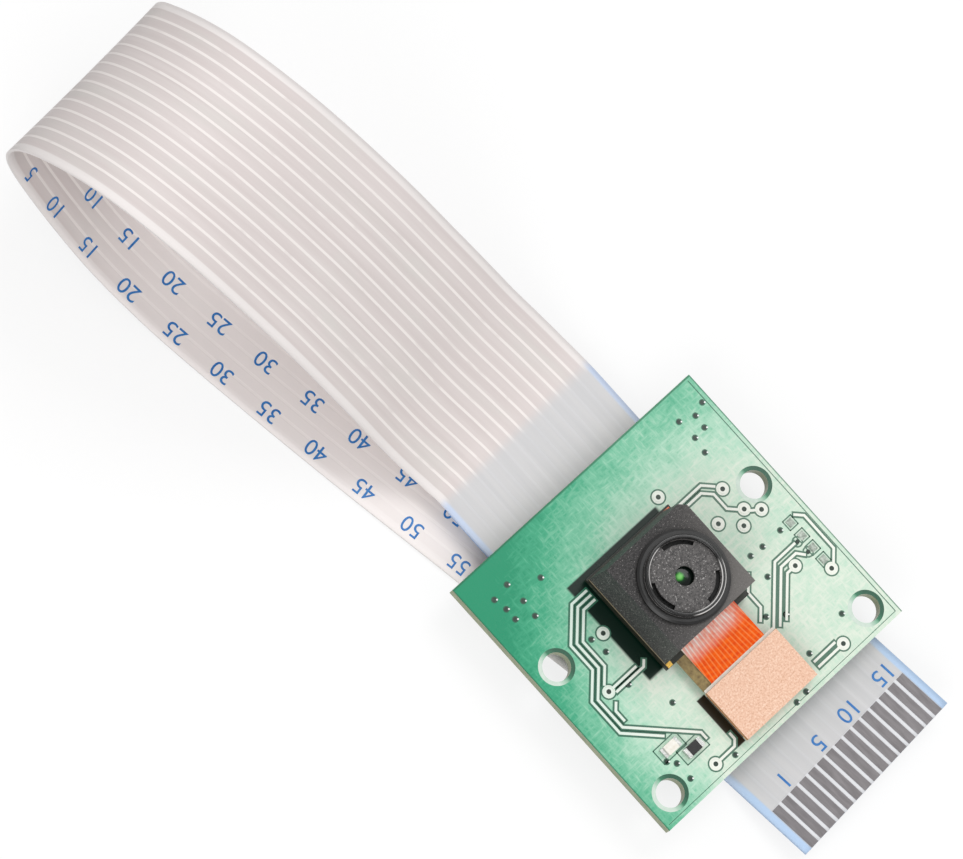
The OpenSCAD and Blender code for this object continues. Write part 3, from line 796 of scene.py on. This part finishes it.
def add_disc(bm, at, outer, inner, z, slot, sides=24):
    """A flat disc or ring facing up, in millimetres."""
    rim = [bm.verts.new(Vector((
        at[0] + outer * math.cos(2 * math.pi * k / sides),
        at[1] + outer * math.sin(2 * math.pi * k / sides), z)) * MM) for k in range(sides)]
    if not inner:
        face = bm.faces.new(rim)
        face.material_index = slot
        return
    bore = [bm.verts.new(Vector((
        at[0] + inner * math.cos(2 * math.pi * k / sides),
        at[1] + inner * math.sin(2 * math.pi * k / sides), z)) * MM) for k in range(sides)]
    for k in range(sides):
        nxt = (k + 1) % sides
        face = bm.faces.new([rim[k], rim[nxt], bore[nxt], bore[k]])
        face.material_index = slot


def add_path(bm, points, width, z, slot):
    """A flat mitred strip along points, facing up, in millimetres."""
    flat = [Vector((p[0], p[1], 0)) for p in points]
    left, right = [], []
    for i, p in enumerate(flat):
        into = (p - flat[i - 1]).normalized() if i else (flat[1] - p).normalized()
        out = (flat[i + 1] - p).normalized() if i < len(flat) - 1 else into
        side = Vector((-into.y - out.y, into.x + out.x, 0)).normalized()
        reach = width / 2 / max(0.4, side.dot(Vector((-into.y, into.x, 0))))
        shift = Vector((0, 0, 0))
        if i == 0:
            shift = -into * width / 4
        if i == len(flat) - 1:
            shift = into * width / 4
        lift = Vector((0, 0, z))
        left.append(bm.verts.new((p + shift + side * reach + lift) * MM))
        right.append(bm.verts.new((p + shift - side * reach + lift) * MM))
    for i in range(len(flat) - 1):
        face = bm.faces.new([right[i], right[i + 1], left[i + 1], left[i]])
        face.material_index = slot


def add_frame(bm, frame_box, width, z, slot):
    """A thin rectangular outline round x, y, of a width and length."""
    x, y, w, h = frame_box
    corners = [(x + sx * w / 2, y + sy * h / 2) for sx, sy in ((-1, -1), (1, -1), (1, 1), (-1, 1))]
    for i in range(4):
        add_path(bm, [corners[i], corners[(i + 1) % 4]], width, z, slot)


def dress_board():
    bm = bmesh.new()
    for track in TRACKS:
        add_path(bm, track, 0.5, GAP_Z, GAP)
    for at in LANDS:
        add_disc(bm, at, 0.62, 0, RING_Z, GAP)
        add_disc(bm, at, 0.5, 0, POUR_Z, POUR)
        add_disc(bm, at, 0.19, 0, MOUTH_Z, DOT, 16)
    for at in SMALL_RINGS:
        add_disc(bm, at, 0.45, 0.33, RING_Z, GAP)
        add_disc(bm, at, 0.17, 0, MOUTH_Z, DOT, 16)
    for at in VIAS:
        add_disc(bm, at, 0.26, 0.17, GAP_Z, GAP, 16)
        add_disc(bm, at, 0.18, 0, DOT_Z, DOT, 16)
        add_disc(bm, (at[0] + 0.16, at[1] - 0.12), 0.07, 0, GLINT_Z, GLINT, 12)
    for at in HOLES:
        add_disc(bm, at, 1.42, 1.1, GAP_Z, RIM, 48)
    # edge of the copper pour inside the right edge, and the front edge
    add_path(bm, [(12.1, 15.3), (12.1, -7.9)], 0.07, GAP_Z, GAP)
    add_path(bm, [(-12.2, -7.9), (12.1, -7.9)], 0.05, GAP_Z, GAP)
    for frame_box in PART_FRAMES:
        add_frame(bm, frame_box, 0.09, DOT_Z, GAP)
    for frame_box in LAND_FRAMES:
        add_frame(bm, frame_box, 0.1, GAP_Z, GAP)
    mesh = bpy.data.meshes.new("board_print")
    bm.to_mesh(mesh)
    bm.free()
    piece = link_mesh(
        "board_print", mesh,
        [gap_finish(), pour_finish(), dark_dot_finish(), glint_finish(), hole_rim_finish()],
    )


dress_board()


# ---- floor, world and lamps ----

FLOOR_GAP = 0.00002
FLOOR_GLOW = 0.78


def add_floor():
    bm = bmesh.new()
    bmesh.ops.create_grid(bm, x_segments=1, y_segments=1, size=1.5)
    mesh = bpy.data.meshes.new("floor")
    bm.to_mesh(mesh)
    bm.free()
    floor = bpy.data.objects.new("floor", mesh)
    floor.location = (0, 0, cad_low.z - FLOOR_GAP)
    scene.collection.objects.link(floor)
    f = Finish("floor_paper", Roughness=0.9)
    f.paint("#808080")
    paths = f.add("ShaderNodeLightPath")
    seen = f.sum("MAXIMUM", paths.outputs["Is Camera Ray"], paths.outputs["Is Glossy Ray"])
    seen = f.sum("MAXIMUM", seen, paths.outputs["Is Transmission Ray"])
    glow = f.add("ShaderNodeEmission")
    f.join(f.sum("MULTIPLY", seen, FLOOR_GLOW), glow.inputs["Strength"])
    both = f.add("ShaderNodeAddShader")
    f.join(f.bsdf.outputs[0], both.inputs[0])
    f.join(glow.outputs[0], both.inputs[1])
    f.join(both.outputs[0], f.out.inputs[0])
    mesh.materials.append(f.material)


def add_world():
    world = bpy.data.worlds.new("studio")
    scene.world = world
    world.use_nodes = True
    tree = world.node_tree
    tree.nodes.clear()
    out = tree.nodes.new("ShaderNodeOutputWorld")
    back = tree.nodes.new("ShaderNodeBackground")
    paths = tree.nodes.new("ShaderNodeLightPath")
    seen = tree.nodes.new("ShaderNodeMath")
    seen.operation = "MAXIMUM"
    level = tree.nodes.new("ShaderNodeMath")
    level.operation = "MULTIPLY_ADD"
    tree.links.new(paths.outputs["Is Camera Ray"], seen.inputs[0])
    tree.links.new(paths.outputs["Is Transmission Ray"], seen.inputs[1])
    tree.links.new(seen.outputs[0], level.inputs[0])
    level.inputs[1].default_value = 0.18
    level.inputs[2].default_value = 0.82
    tree.links.new(level.outputs[0], back.inputs["Strength"])
    tree.links.new(back.outputs[0], out.inputs[0])


def add_lamp(name, place, size, power):
    data = bpy.data.lights.new(name, "AREA")
    data.shape = "SQUARE"
    data.size = size
    data.energy = power
    lamp = bpy.data.objects.new(name, data)
    lamp.location = place
    lamp.rotation_mode = "QUATERNION"
    aim = Vector((0, 0.015, 0)) - Vector(place)
    lamp.rotation_quaternion = aim.to_track_quat("-Z", "Y")
    scene.collection.objects.link(lamp)


add_floor()
add_world()
add_lamp("key", (0.22, 0.10, 0.42), 0.22, 0.6)
add_lamp("fill", (-0.40, -0.12, 0.30), 0.35, 0.95)
